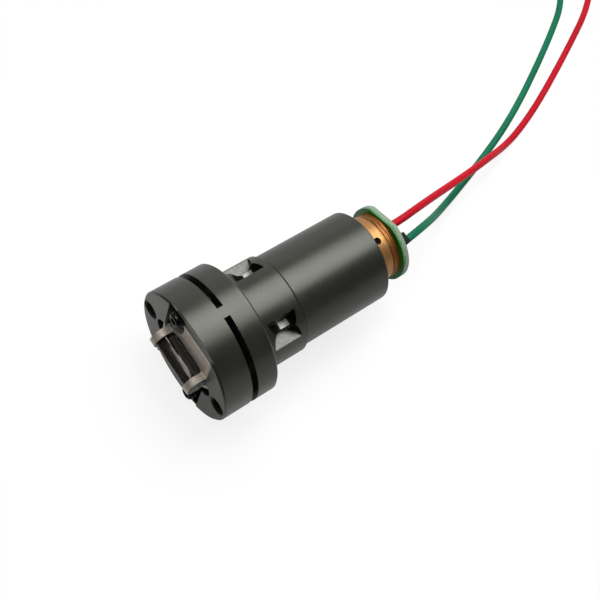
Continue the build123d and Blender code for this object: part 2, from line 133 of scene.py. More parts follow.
class Bench:
    """Puts the nodes of one material or of the world together."""

    def __init__(self, tree: bpy.types.NodeTree) -> None:
        """Starts with a tree, emptied."""
        self.tree = tree
        self.tree.nodes.clear()

    def node(
        self, kind: str, settings: Optional[dict] = None, sockets: Optional[dict] = None
    ) -> bpy.types.Node:
        """Adds one node.

        Args:
            kind: The node's type name after "ShaderNode".
            settings: Its own properties, set first.
            sockets: Values or links for its input sockets, by name or number.

        Returns:
            The new node.
        """
        made = self.tree.nodes.new(f"ShaderNode{kind}")
        for name, value in (settings or {}).items():
            setattr(made, name, value)
        for name, value in (sockets or {}).items():
            source = value.socket if isinstance(value, Signal) else value
            if isinstance(source, bpy.types.NodeSocket):
                self.tree.links.new(source, made.inputs[name])
            elif isinstance(source, tuple) and made.inputs[name].type == "RGBA":
                made.inputs[name].default_value = (*source, 1.0)
            else:
                made.inputs[name].default_value = source
        return made

    def place(self) -> bpy.types.NodeSocket:
        """The place on the object, in metres."""
        return self.node("TexCoord").outputs["Object"]

    def millimetres(self) -> tuple[Signal, Signal, Signal]:
        """The three coordinates of the place on the object, in millimetres."""
        parts = self.node("SeparateXYZ", sockets={0: self.place()})
        return tuple(Signal(self, output) / MM for output in parts.outputs)

    def ray(self, kind: str) -> Signal:
        """One for rays of a kind, such as Camera or Glossy, otherwise zero."""
        return Signal(self, self.node("LightPath").outputs[f"Is {kind} Ray"])

    def noise(self, grain: float, detail: float = 3.0, stretch: Point = (1.0, 1.0, 1.0)) -> Signal:
        """Soft random variation.

        Args:
            grain: Size of one patch, in millimetres.
            detail: How many finer layers are added.
            stretch: How much finer the pattern is along each axis.

        Returns:
            The variation, from zero to one.
        """
        scaled = self.node("Mapping", sockets={"Vector": self.place(), "Scale": stretch})
        values = {"Vector": scaled.outputs[0], "Scale": 1 / (grain * MM), "Detail": detail}
        return Signal(self, self.node("TexNoise", sockets=values).outputs[0])

    def blend(self, amount: object, first: object, second: object) -> bpy.types.NodeSocket:
        """Mixes two colours or sockets. The amount is the second one's share."""
        node = self.node("Mix", {"data_type": "RGBA"}, {0: amount, 6: first, 7: second})
        return node.outputs[2]

    def bump(self, height: Signal, depth: float) -> bpy.types.NodeSocket:
        """The normal on a relief whose height goes from zero to one, and that is so many millimetres deep."""
        node = self.node("Bump", sockets={"Height": height, "Distance": depth * MM})
        return node.outputs[0]


class Finish:
    """A surface finish. Each kind fills in what it is and how it varies."""

    title = "finish"

    def __init__(self) -> None:
        """Makes the material."""
        self.material = bpy.data.materials.new(self.title)
        self.material.use_nodes = True
        bench = Bench(self.material.node_tree)
        surface = bench.node("BsdfPrincipled", sockets=self.sockets(bench))
        bench.node("OutputMaterial", sockets={"Surface": surface.outputs[0]})

    def sockets(self, bench: Bench) -> dict:
        """Values and links for the surface shader, by socket name."""
        raise NotImplementedError

    def dress(self, piece: bpy.types.Object) -> None:
        """Gives the whole piece this finish.

        Args:
            piece: The piece to dress.
        """
        if not piece.data.materials:
            piece.data.materials.append(self.material)
        for slot in piece.material_slots:
            slot.material = self.material


class Anodised(Finish):
    """Dark grey anodised aluminium. The neck's corner pockets are machined through to bare metal, with
    painted shade and highlights inside them.
    """

    title = "anodised_aluminium"
    head_radius = 8.2
    neck_radius = 6.28
    channel_half_width = 4.14
    rim_step = (-19.36, -19.2)
    pocket = (-11.4, -6.6)
    pocket_depth = 2.9
    floor_depth = 3.05
    trough_near = (3.05, 3.95)
    trough_far = (3.85, 4.17)
    trough_end = -9.1

    def sockets(self, bench: Bench) -> dict:
        """Blasted grain, faint turning marks, pale specks, bare pocket floors, painted light and shade in the
        pockets and a painted brown reflection on the rim step.
        """
        x, y, z = bench.millimetres()
        near, far = abs(x).smallest(abs(z)), abs(x).largest(abs(z))
        radius = (x * x + z * z) ** 0.5
        grain = bench.noise(0.05, 2.0)
        mottle = bench.noise(0.3, 5.0)
        turning = bench.noise(0.09, 2.0, (0.12, 1.0, 0.12))
        cloud = bench.noise(2.5, 3.0)
        speck = bench.noise(0.16, 1.0).step(0.74, 0.80)
        pocket = (radius < self.neck_radius) * y.within(*self.pocket) * (near > self.pocket_depth)
        # Painted light: the lit part of each trough, cut off where the trough curves up into shade.
        trough = near.within(*self.trough_near) * far.within(*self.trough_far)
        trough = trough * (y + mottle * 0.5 > self.trough_end)
        floor = (near < self.floor_depth).largest(trough)
        rim = (abs(x) < self.channel_half_width) * (radius < self.head_radius) * y.within(*self.rim_step)
        dark = bench.blend(cloud, (0.011, 0.012, 0.009), (0.019, 0.020, 0.016))
        dusted = bench.blend(speck, dark, (0.16, 0.16, 0.14))
        # Painted reflection: the rim step is tinted brown, as if it mirrored the lens seat.
        rim_painted_reflection = bench.blend(rim * 0.85, dusted, (0.10, 0.074, 0.06))
        bare = bench.blend(mottle.step(0.25, 0.75), (0.062, 0.063, 0.06), (0.105, 0.105, 0.1))
        # Painted highlight: the troughs are lighter than the bare floors.
        bright = bench.blend(trough, bare, (0.16, 0.16, 0.15))
        # Painted shade: pocket walls other than the floors and lit troughs are made near black.
        pocket_light_and_shade = bench.blend(floor, (0.005, 0.005, 0.005), bright)
        height = grain * 0.5 + turning * 0.6 + pocket * mottle * 1.6
        return {
            "Base Color": bench.blend(pocket, rim_painted_reflection, pocket_light_and_shade),
            "Metallic": pocket * 0.92,
            "Roughness": 0.27 + 0.07 * cloud + 0.05 * turning + pocket * (0.07 + 0.08 * mottle),
            "Specular Tint": (0.97, 1.0, 0.88),
            "Normal": bench.bump(height, 0.004),
        }


class BlackSteel(Finish):
    """Black oxide steel of the screws."""

    title = "black_oxide_steel"

    def sockets(self, bench: Bench) -> dict:
        """Oily and dark, with rubbed spots."""
        wear = bench.noise(0.25, 3.0)
        return {
            "Base Color": bench.blend(wear.step(0.5, 0.75), (0.008, 0.008, 0.008), (0.05, 0.047, 0.043)),
            "Metallic": 0.75,
            "Roughness": 0.2 + 0.2 * wear,
            "Normal": bench.bump(wear, 0.01),
        }


class SeatMetal(Finish):
    """Bare sintered metal of the lens seat, brownish grey and speckled."""

    title = "sintered_metal"
    highlight_from = 5.34
    lip_until = 2.02
    flat_from = -19.3

    def sockets(self, bench: Bench) -> dict:
        """Warm grey with fine bright grains, and painted highlights along its outer edge and the lip of its
        window.
        """
        _, y, z = bench.millimetres()
        speckle = bench.noise(0.11, 4.0)
        patch = bench.noise(0.8, 2.0)
        # Painted highlight along the outer edge, where the chamfer catches the light, and a weaker one along
        # the window's lip.
        edge_highlight = (abs(z) - self.highlight_from + 0.12 * speckle).step(0.0, 0.08)
        lip = (self.lip_until - abs(z) + 0.1 * speckle).step(0.0, 0.12) * (y > self.flat_from)
        edge = edge_highlight.largest(lip * 0.45)
        light = bench.blend(patch, (0.43, 0.37, 0.30), (0.59, 0.515, 0.435))
        grains = bench.blend(speckle.step(0.44, 0.68), light, (0.72, 0.66, 0.575))
        return {
            "Base Color": bench.blend(edge, grains, (0.85, 0.83, 0.78)),
            "Metallic": 0.72,
            "Roughness": 0.38 + 0.2 * speckle,
            "Normal": bench.bump(speckle, 0.03),
        }


class RodGlass(Finish):
    """Polished glass rod, tinted dark as painted shade for the dark bore seen through it, with ground ends.
    """

    title = "rod_glass"
    ground_from = 3.76

    def sockets(self, bench: Bench) -> dict:
        """Dark tint as painted shade, smooth, with faint streaks along it."""
        x, _, _ = bench.millimetres()
        ground = (abs(x) - self.ground_from).step(0.0, 0.03)
        streak = bench.noise(0.3, 3.0, (0.08, 1.0, 1.0))
        # Painted shade: the clear glass is tinted near black, standing in for the shadowed bore and seat seen
        # through it.
        shade_tint = bench.blend(streak, (0.012, 0.011, 0.010), (0.07, 0.058, 0.048))
        return {
            "Base Color": bench.blend(ground, shade_tint, (0.7, 0.72, 0.72)),
            "Roughness": 0.11 + 0.02 * streak + 0.4 * ground,
            "Transmission Weight": 1.0,
            "IOR": 1.52,
        }


class ClearGlue(Finish):
    """Clear cured glue."""

    title = "clear_glue"

    def sockets(self, bench: Bench) -> dict:
        """Wet gloss over a slightly uneven surface."""
        ripple = bench.noise(0.4, 2.0)
        return {
            "Base Color": bench.blend(ripple, (0.5, 0.51, 0.49), (0.85, 0.86, 0.85)),
            "Roughness": 0.04 + 0.08 * ripple,
            "Transmission Weight": 0.9,
            "IOR": 1.6,
            "Coat Weight": 1.0,
            "Coat IOR": 1.7,
            "Normal": bench.bump(ripple, 0.05),
        }


class Brass(Finish):
    """Turned brass with fine tool marks round it, darker and browner towards its rear end, next to the board.
    """

    title = "turned_brass"
    darker_span = (8.2, 8.7)

    def sockets(self, bench: Bench) -> dict:
        """Warm metal, streaked round the axis."""
        _, y, _ = bench.millimetres()
        turning = bench.noise(0.1, 4.0, (0.04, 1.0, 0.04))
        span_noise = bench.noise(0.9, 3.0)
        # Darker and browner towards the rear end, next to the board.
        rear = (y + (span_noise - 0.5) * 0.7).step(*self.darker_span)
        front_tone = bench.blend(turning.step(0.3, 0.7), (0.31, 0.145, 0.045), (0.44, 0.235, 0.085))
        brown = bench.blend(turning.step(0.35, 0.65), (0.12, 0.034, 0.005), (0.36, 0.135, 0.022))
        return {
            "Base Color": bench.blend(rear * 0.85, front_tone, brown),
            "Metallic": 0.72,
            "Roughness": 0.34 + 0.16 * turning,
            "Normal": bench.bump(turning, 0.014),
        }


class Toned(Finish):
    """A finish that runs between two colours."""

    def __init__(self, title: str, low: Colour, high: Colour, roughness: float) -> None:
        """Names the material, its darker and its lighter colour and how dull it is."""
        self.title, self.low, self.high, self.roughness = title, low, high, roughness
        super().__init__()


class Metal(Toned):
    """Bright small metal pieces: plating, solder, copper and spring wire."""

    def sockets(self, bench: Bench) -> dict:
        """Metal with faint patches."""
        patch = bench.noise(0.3, 3.0)
        return {
            "Base Color": bench.blend(patch, self.low, self.high),
            "Metallic": 1.0,
            "Roughness": self.roughness + 0.12 * patch,
            "Normal": bench.bump(patch, 0.01),
        }


class LensGlass(Finish):
    """Coated lens glass."""

    title = "lens_glass"

    def sockets(self, bench: Bench) -> dict:
        """Clear with a faint tint."""
        haze = bench.noise(1.5, 1.0)
        return {
            "Base Color": bench.blend(haze, (0.80, 0.88, 0.90), (0.90, 0.94, 0.95)),
            "Roughness": 0.02 + 0.02 * haze,
            "Transmission Weight": 1.0,
            "IOR": 1.5,
        }


class Laminate(Finish):
    """Circuit board: green solder resist on its faces and pale glass laminate on its sawn edge."""

    title = "board_laminate"
    skin = 0.03

    def sockets(self, bench: Bench) -> dict:
        """Faces and edge apart, by how far in from each face the place is, with green burrs in front."""
        _, y, _ = bench.millimetres()
        edge = y.within(BOARD_FRONT + self.skin, BOARD_REAR - self.skin)
        sawn = bench.noise(0.12, 3.0, (1.0, 5.0, 1.0))
        burr = (bench.noise(0.35, 2.0) * 0.5 + (BOARD_REAR - y) * 0.5).step(0.46, 0.62)
        resist = bench.blend(bench.noise(0.8), srgb(12, 82, 18), srgb(30, 122, 36))
        pale = bench.blend(sawn.step(0.3, 0.7), srgb(94, 118, 98), srgb(150, 164, 146))
        return {
            "Base Color": bench.blend(edge, resist, bench.blend(burr, pale, srgb(56, 118, 62))),
            "Roughness": 0.32 + 0.35 * edge,
            "Normal": bench.bump(sawn, 0.012),
        }


class Moulded(Toned):
    """Moulded or fired body of a small component."""

    def sockets(self, bench: Bench) -> dict:
        """Matt, finely grained."""
        grain = bench.noise(0.06, 2.0)
        return {
            "Base Color": bench.blend(grain, self.low, self.high),
            "Roughness": self.roughness + 0.15 * grain,
            "Specular IOR Level": 0.12,
            "Normal": bench.bump(grain, 0.005),
        }


class Insulation(Toned):
    """Smooth plastic insulation of a lead."""

    def sockets(self, bench: Bench) -> dict:
        """Soft gloss with a faint waviness and scuffs."""
        wave = bench.noise(7.0, 2.0)
        scuff = bench.noise(0.5, 3.0)
        return {
            "Base Color": bench.blend(wave, self.low, self.high),
            "Roughness": self.roughness + 0.14 * scuff,
            "Specular IOR Level": 0.14,
            "Normal": bench.bump(wave, 0.05),
        }


def stand(name: str, data: bpy.types.ID, right: Vector, back: Vector, place: Vector) -> bpy.types.Object:
    """Stands a lamp or a camera in the scene.

    Args:
        name: Its name.
        data: The lamp or camera itself.
        right: Where its right side points.
        back: Where its back points.
        place: Where it stands, in metres.

    Returns:
        The object.
    """
    made = bpy.data.objects.new(name, data)
    bpy.context.scene.collection.objects.link(made)
    turn = Matrix((right, back.cross(right), back)).transposed().to_4x4()
    made.matrix_world = Matrix.Translation(place) @ turn
    return made


@dataclass(frozen=True)
class Lamp:
    """A flat soft lamp that faces the part."""

    name: str
    way: Point
    along: Point
    size: Pair
    power: float
    distance: float = 400.0

    def hang(self) -> None:
        """Hangs the lamp, with its first side along the wanted way."""
        data = bpy.data.lights.new(self.name, "AREA")
        data.shape = "RECTANGLE"
        data.size, data.size_y = (side * MM for side in self.size)
        data.energy = self.power
        way = Vector(self.way).normalized()
        across = way.cross(Vector(self.along)).normalized()
        stand(self.name, data, across.cross(way), way, way * self.distance * MM)


@dataclass
class Studio:
    """White table and backdrop, a large soft lamp overhead, a narrow one before it, and the camera."""

    lens: float = 57.728
    eye: Point = (26.18, -50.01, 102.67)
    right: Point = (0.5747, 0.7890, 0.2172)
    up: Point = (-0.7891, 0.4639, 0.4026)
    lamps: tuple[Lamp, ...] = (
        Lamp("overhead", (-0.19, 0.35, 0.92), (0.879, 0.477, 0.0), (370.0, 230.0), 2.0),
        Lamp("strip", (-0.176, -0.22, 0.96), (0.108, -0.994, 0.0), (340.0, 76.0), 0.34),
    )

    def place_camera(self) -> None:
        """Sets the camera where the photograph was taken from."""
        data = bpy.data.cameras.new("camera")
        data.lens = self.lens
        data.sensor_width = 36.0
        data.clip_start = 0.001
        data.clip_end = 20.0
        right = Vector(self.right).normalized()
        back = right.cross(Vector(self.up)).normalized()
        bpy.context.scene.camera = stand("camera", data, right, back, metres(self.eye))

    def paint_world(self) -> None:
        """White to the camera and low down, darker overhead in what the metal reflects."""
        world = bpy.data.worlds.new("studio")
        world.use_nodes = True
        bpy.context.scene.world = world
        bench = Bench(world.node_tree)
        parts = bench.node("SeparateXYZ", sockets={0: bench.node("TexCoord").outputs["Generated"]})
        x, y, z = (Signal(bench, output) for output in parts.outputs)
        low = 1.0 - (z + x * 0.25 + y * 0.15).step(0.28, 0.52)
        wall = low * y.step(-0.8, -0.5) * (0.8 - 0.14 * x) + 0.06
        white = bench.ray("Camera").largest(wall)
        shade = bench.blend(white, (0.0, 0.0, 0.0), (1.0, 1.0, 1.0))
        sky = bench.node("Background", sockets={"Color": shade, "Strength": 1.0})
        bench.node("OutputWorld", sockets={"Surface": sky.outputs[0]})

    def lay_table(self) -> None:
        """Lays the pale table under the part, white to the camera but for the shadow near the part.

        In the part's mirror images it is a little darker, and dark like a card in front of the part.
        """
        bpy.ops.mesh.primitive_plane_add(size=4.0, location=(0, 0, TABLE_HEIGHT * MM))
        table = bpy.context.object
        table.name = "table"
        material = bpy.data.materials.new("table")
        material.use_nodes = True
        bench = Bench(material.node_tree)
        seen = bench.ray("Camera")
        mirrored = bench.ray("Glossy").largest(bench.ray("Transmission"))
        x, y, _ = bench.millimetres()
        away = ((x * x + (y - 10.0) * (y - 10.0)) ** 0.5).step(15.0, 60.0)
        card = 1.0 - y.step(-37.0, -29.0)
        seen_in_metal = bench.blend(card, (0.5, 0.5, 0.5), (0.06, 0.06, 0.06))
        pale = bench.blend(mirrored, (0.9, 0.9, 0.9), seen_in_metal)
        matt = bench.node("BsdfDiffuse", sockets={"Color": pale})
        white = bench.node("Emission", sockets={"Color": (1.0, 1.0, 1.0), "Strength": 1.0})
        share = ((0.8 + 0.2 * away) * seen).largest(mirrored * (1.0 - card) * 0.3)
        mixed = bench.node("MixShader", sockets={0: share, 1: matt.outputs[0], 2: white.outputs[0]})
        bench.node("OutputMaterial", sockets={"Surface": mixed.outputs[0]})
        table.data.materials.append(material)

    def set_up(self) -> None:
        """Makes the whole studio but its camera."""
        bpy.context.scene.view_settings.view_transform = "Standard"
        for lamp in self.lamps:
            lamp.hang()
        self.paint_world()
        self.lay_table()


class Workpiece:
    """A mesh in the making. It stands upright at the origin, in millimetres, until it is set in place."""

    def __init__(self, name: str, primitive: Callable[..., set], **sizes: object) -> None:
        """Starts from one of Blender's primitives.

        Args:
            name: The piece's name.
            primitive: The operator that adds the primitive.
            sizes: What that operator is given, in millimetres.
        """
        bpy.ops.object.select_all(action="DESELECT")
        primitive(**sizes)
        self.body = bpy.context.object
        self.body.name = name
        self.fix()

    def take(self) -> None:
        """Selects this piece alone."""
        bpy.ops.object.select_all(action="DESELECT")
        self.body.select_set(True)
        bpy.context.view_layer.objects.active = self.body

    def fix(self, turn: Optional[Matrix] = None) -> Self:
        """Passes the object's own place, turn and size on to its mesh.

        Args:
            turn: Place, turn and size that the object is given first.

        Returns:
            This piece.
        """
        if turn is not None:
            self.body.matrix_world = turn
        self.take()
        bpy.ops.object.transform_apply(location=True, rotation=True, scale=True)
        return self

    @contextmanager
    def editing(self, faces: Optional[Test] = None, edges: Optional[Test] = None) -> Iterator[None]:
        """Opens the mesh for editing, with only the chosen faces or edges selected.

        Args:
            faces: Told a face's centre and normal, says whether it is chosen.
            edges: Told an edge's two ends, says whether it is chosen.

        Yields:
            Nothing. The mesh is closed again afterwards.
        """
        self.take()
        bpy.ops.object.mode_set(mode="EDIT")
        bpy.ops.mesh.select_mode(type="EDGE" if edges else "FACE")
        bpy.ops.mesh.select_all(action="SELECT" if faces is edges else "DESELECT")
        mesh = bmesh.from_edit_mesh(self.body.data)
        for face in mesh.faces if faces else ():
            face.select_set(faces(face.calc_center_median(), face.normal))
        for edge in mesh.edges if edges else ():
            edge.select_set(edges(edge.verts[0].co, edge.verts[1].co))
        mesh.select_flush_mode()
        bmesh.update_edit_mesh(self.body.data)
        yield
        bpy.ops.object.mode_set(mode="OBJECT")

    def rise(self, rings: Pairs) -> Self:
        """Draws a disc's face up step by step, as wide as each ring says.

        Args:
            rings: Radius and height of each step, from the disc's own.

        Returns:
            This piece.
        """
        with self.editing():
            for (radius, height), (wider, higher) in zip(rings, rings[1:]):
                rim = (wider / radius, wider / radius, 1.0)
                bpy.ops.mesh.extrude_region_move(TRANSFORM_OT_translate={"value": (0, 0, higher - height)})
                bpy.ops.transform.resize(value=rim, center_override=(0, 0, higher))
        return self

    def bevel(self, width: float, steps: int, edges: Test) -> Self:
        """Breaks the chosen edges.

        Args:
            width: Width of the broken edge.
            steps: How many faces it has.
            edges: Says which edges, by their two ends.

        Returns:
            This piece.
        """
        with self.editing(edges=edges):
            bpy.ops.mesh.bevel(offset=width, segments=steps, affect="EDGES")
        return self

    def apply(self, kind: str, **settings: object) -> Self:
        """Adds a modifier and applies it.

        Args:
            kind: The modifier's type.
            settings: Its settings.

        Returns:
            This piece.
        """
        self.take()
        modifier = self.body.modifiers.new("step", kind)
        for name, value in settings.items():
            setattr(modifier, name, value)
        bpy.ops.object.modifier_apply(modifier=modifier.name)
        return self

    def cut(self, tool: "Workpiece") -> Self:
        """Cuts another piece out of this one and throws that piece away.

        Args:
            tool: The other piece.

        Returns:
            This piece.
        """
        self.apply("BOOLEAN", operation="DIFFERENCE", object=tool.body, solver="EXACT")
        bpy.data.objects.remove(tool.body)
        return self

    def move(self, foot: Point = (0, 0, 0), way: Point = (0, 0, 1), roll: float = 0.0) -> Self:
        """Turns and moves the mesh.

        Args:
            foot: Where the origin goes.
            way: Where its upright axis points.
            roll: Turn about that axis first, in degrees.

        Returns:
            This piece.
        """
        lean = Vector((0, 0, 1)).rotation_difference(Vector(way)).to_matrix().to_4x4()
        return self.fix(Matrix.Translation(foot) @ lean @ Matrix.Rotation(math.radians(roll), 4, "Z"))

    def opposite(self) -> Self:
        """Turns the mesh half round the optical axis, to the other side of the part."""
        return self.fix(Matrix.Rotation(math.pi, 4, "Y"))

    def copy(self) -> Self:
        """Makes another of the same.

        Returns:
            The copy, with its own mesh.
        """
        self.take()
        bpy.ops.object.duplicate(linked=False)
        other = object.__new__(Workpiece)
        other.body = bpy.context.object
        return other

    def join(self, *others: "Workpiece") -> Self:
        """Takes other pieces into this one.

        Args:
            others: The other pieces.

        Returns:
            This piece.
        """
        self.take()
        for other in others:
            other.body.select_set(True)
        bpy.ops.object.join()
        return self

    def repeat(self, places: Sequence[Point], way: Point = (0, 0, 1), roll: float = 0.0) -> Self:
        """Sets this piece at the first place and joins a copy, rolled if told, at each of the others."""
        others = [self.copy().move(place, way, roll) for place in places[1:]]
        return self.move(places[0], way).join(*others)

    def halve(self, foot: Point, way: Point) -> Self:
        """Keeps only what lies on the side of a plane that its normal points to.

        Args:
            foot: A place on the plane.
            way: The plane's normal.

        Returns:
            This piece.
        """
        with self.editing():
            bpy.ops.mesh.bisect(plane_co=foot, plane_no=way, clear_inner=True, threshold=1e-4)
        return self

    def close(self) -> Self:
        """Fills open ends and turns all faces outwards.

        Returns:
            This piece.
        """
        with self.editing():
            bpy.ops.mesh.remove_doubles(threshold=0.0005)
            bpy.ops.mesh.fill_holes(sides=0)
            bpy.ops.mesh.normals_make_consistent(inside=False)
        return self

    def hand_over(self, finish: Finish, slot: str, *nodes: str, smooth: float = 35.0) -> bpy.types.Object:
        """Brings the piece to its true size, dresses it and puts it on the part.

        Args:
            finish: Its finish.
            slot: The record's material slot. Not used.
            nodes: The nodes that it stands for.
            smooth: Edges flatter than this, in degrees, are shaded smooth.

        Returns:
            The finished piece.
        """
        self.fix(Matrix.Scale(MM, 4))
        bpy.ops.object.shade_smooth_by_angle(angle=math.radians(smooth))
        finish.dress(self.body)
        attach(self.body, "root")
        if nodes:
            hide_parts(*nodes)
        log.info("made %s with %d faces", self.body.name, len(self.body.data.polygons))
        return self.body


def every(one: Vector, two: Vector) -> bool:
    """Chooses every edge."""
    return True


def disc(name: str, radius: float, sides: int = 48) -> Workpiece:
    """A flat disc to start a round piece from."""
    return Workpiece(name, bpy.ops.mesh.primitive_circle_add, vertices=sides, radius=radius, fill_type="NGON")


def block(name: str, size: Point, centre: Point) -> Workpiece:
    """A block to start a square piece from."""
    return Workpiece(name, bpy.ops.mesh.primitive_cube_add, size=1.0, scale=size, location=centre)


def thread(name: str, radius: float, height: float, pitch: float, turns: float) -> Workpiece:
    """One rib wound up a screw.

    Args:
        name: The piece's name.
        radius: Radius at the middle of the rib.
        height: How far the rib stands from there.
        pitch: Rise of one turn.
        turns: How many turns.

    Returns:
        The rib, closed at both ends, from height zero up.
    """
    rib = Workpiece(
        name,
        bpy.ops.mesh.primitive_circle_add,
        vertices=4,
        radius=height,
        fill_type="NOTHING",
        location=(radius, 0, 0),
        rotation=(math.radians(90), 0, 0),
    )
    flank = 0.42 * pitch
    with rib.editing():
        bpy.ops.transform.resize(value=(1.0, 1.0, flank / height), center_override=(radius, 0, 0))
    turn, steps = math.radians(360 * turns), round(40 * turns)
    rib.apply("SCREW", axis="Z", angle=turn, screw_offset=pitch * turns, steps=steps, render_steps=steps)
    return rib.close()


class Facing(Enum):
    """Which way the top of a piece faces on the part."""

    FRONT = (0.0, -1.0, 0.0)
    REAR = (0.0, 1.0, 0.0)
    SIDE = (1.0, 0.0, 0.0)


@dataclass
class SetScrew:
    """A socket set screw with its thread, made with its socket upwards and its top at height zero."""

    name: str
    radius: float
    length: float
    socket: float
    depth: float = 1.2
    pitch: float = 0.4

    def build(self) -> Workpiece:
        """Turns the core, sinks the socket and winds the thread round it.

        Returns:
            The screw, upright at the origin.
        """
        root = self.radius - 0.3 * self.pitch
        end = 0.5 * self.pitch
        core = disc(self.name, root - end)
        core.rise([(root - end, 0), (root, end), (root, self.length - end), (root - end, self.length)])
        core.close().move((0, 0, -self.length))
        key = disc("key", self.socket / math.sqrt(3), 6)
        key.rise([(1, 0), (1, self.depth), (1, self.depth + 1)]).close().move((0, 0, -self.depth))
        core.cut(key)
        rim = root - end - 0.01
        core.bevel(0.03, 1, lambda one, two: min(one.z, two.z) > -1e-4 and max(one.length, two.length) < rim)
        turns = (self.length - 2.2 * end) / self.pitch - 0.5
        rib = thread("rib", root - 0.02, self.radius - root, self.pitch, turns)
        rib.move((0, 0, -end - turns * self.pitch - 0.1))
        return core.join(rib)


@dataclass
class FrontScrews:
    """The four set screws in the front plate, and the first turn of thread in the two outer holes."""

    steel: Finish
    anodised: Finish
    adjusting_side: float = 6.84
    adjusting_top: float = -19.0
    locking_side: float = 2.46
    locking_height: float = 6.1
    locking_top: float = -20.0
    tapped_depth: float = 0.48
    first_socket_turn: float = 12.0
    second_socket_turn: float = 37.0

    def build(self) -> None:
        """Makes each screw once and copies it to its second place."""
        adjusting = SetScrew("adjusting_set_screws", radius=1.24, length=4.0, socket=1.3, pitch=0.45).build()
        locking = SetScrew("locking_set_screws", radius=0.99, length=5.0, socket=0.9).build()
        self.pair(adjusting, (self.adjusting_side, self.adjusting_top, 0.0), "adjusting_screws")
        self.pair(locking, (-self.locking_side, self.locking_top, self.locking_height), "locking_screws")
        tapped = thread("tapped_thread", radius=1.27, height=0.09, pitch=0.2, turns=2.0)
        tapped.move((self.adjusting_side, FACE + self.tapped_depth, 0.0), Facing.FRONT.value)
        tapped.join(tapped.copy().opposite())
        tapped.hand_over(self.anodised, "anodised")

    def pair(self, screw: Workpiece, place: Point, node: str) -> None:
        """Sets one screw and its copy on opposite sides of the axis.

        Args:
            screw: The screw, upright at the origin.
            place: Where the middle of its top goes.
            node: The node that the pair stands for.
        """
        other = screw.copy().move(place, Facing.FRONT.value, self.second_socket_turn).opposite()
        screw.move(place, Facing.FRONT.value, self.first_socket_turn).join(other)
        screw.hand_over(self.steel, "black_steel", node)


@dataclass
class RodLens:
    """The glass rod that spreads the beam into a line."""

    glass: Finish
    radius: float = 1.25
    length: float = 7.66
    axis: float = FACE - 0.56
    bevel: float = 0.08

    def build(self) -> None:
        """Draws the rod, grinds a bevel at both ends and lays it across the face."""
        rod = disc("rod_lens_glass", self.radius, 128)
        rod.rise([(1, 0), (1, self.length / 3), (1, self.length * 2 / 3), (1, self.length)]).close()
        low, high = 1e-4, self.length - 1e-4
        rod.bevel(self.bevel, 3, lambda one, two: max(one.z, two.z) < low or min(one.z, two.z) > high)
        rod.move((-self.length / 2, self.axis, 0), Facing.SIDE.value)
        rod.hand_over(self.glass, "dark_glass", "rod_lens", smooth=50.0)


@dataclass
class GlueDabs:
    """Clear glue: a dab with drops in each notch beside the lens seat, and a lump at its bitten corner."""

    glue: Finish
    side: float = 3.98
    middle: float = -18.4
    dab_size: Point = (0.9, 1.12, 1.0)
    seat_side: float = 3.86
    drops: int = 9
    first_turn: float = 217.0
    drop_turn: float = 137.5
    lump_size: Point = (0.72, 1.25, 0.8)
    lump_foot: Point = (-2.95, -17.95, 2.75)

    def build(self) -> None:
        """Shapes a dab and a lump from balls, cuts them flat and turns a copy to the other side."""
        dab = self.blob("seat_glue_dabs", self.dab_size, (self.side, self.middle, 0.0), 5, 0.2)
        for number in range(self.drops):
            turn = math.radians(self.first_turn + number * self.drop_turn)
            away = 0.25 + 0.062 * number
            across, up = 0.5 * away * math.cos(turn), 0.9 * away * math.sin(turn)
            spot = (self.side + 0.28 + across, self.middle - 0.78 + 0.55 * away**2, up)
            size = 0.1 + 0.035 * (number % 4)
            dab.join(self.blob("drop", (size, size * 0.8, size), spot, 3, 0.03))
        dab.halve((self.seat_side, 0, 0), (1, 0, 0)).close()
        lump = self.blob("lump", self.lump_size, self.lump_foot, 5, 0.2)
        dab.join(lump.halve(self.lump_foot, (0, -1, 0)).close())
        dab.join(dab.copy().opposite())
        dab.hand_over(self.glue, "clear_glue", "seat_glue", smooth=60.0)

    def blob(self, name: str, radii: Point, centre: Point, rounds: int, unevenness: float) -> Workpiece:
        """One uneven round drop.

        Args:
            name: Its name.
            radii: Half of its three sizes.
            centre: Its middle.
            rounds: How finely it is divided.
            unevenness: How far its surface swells and sinks.

        Returns:
            The drop.
        """
        ball = bpy.ops.mesh.primitive_ico_sphere_add
        drop = Workpiece(name, ball, subdivisions=rounds, radius=1.0, location=centre, scale=radii)
        clouds = bpy.data.textures.new("glue_swell", "CLOUDS")
        clouds.noise_scale = 0.55
        drop.apply("DISPLACE", texture=clouds, texture_coords="LOCAL", strength=unevenness, mid_level=0.5)
        return drop


@dataclass
class HousingScrew:
    """The tiny set screw that holds the diode, in its hole through the brass."""

    steel: Finish
    angle: float = 80.0
    axis: float = 7.5
    reach: float = 3.9
    socket_turn: float = 20.0

    def build(self) -> None:
        """Makes the screw and sinks it radially."""
        turn = math.radians(self.angle)
        way = (math.cos(turn), 0.0, math.sin(turn))
        screw = SetScrew("diode_set_screw", radius=0.44, length=1.05, socket=0.4, depth=0.4, pitch=0.2)
        top = (self.reach * way[0], self.axis, self.reach * way[2])
        body = screw.build().move(top, way, self.socket_turn)
        body.hand_over(self.steel, "black_steel", "housing_screw")


def studs(name: str, sides: int, rings: Pairs, spots: Pairs, roll: float = 0.0) -> Workpiece:
    """Round pieces of one kind on the board's rear, as one piece. Their spots are told as x and z."""
    one = disc(name, rings[0][0], sides).rise(rings).close()
    return one.repeat([(x, BOARD_REAR, z) for x, z in spots], Facing.REAR.value, roll)


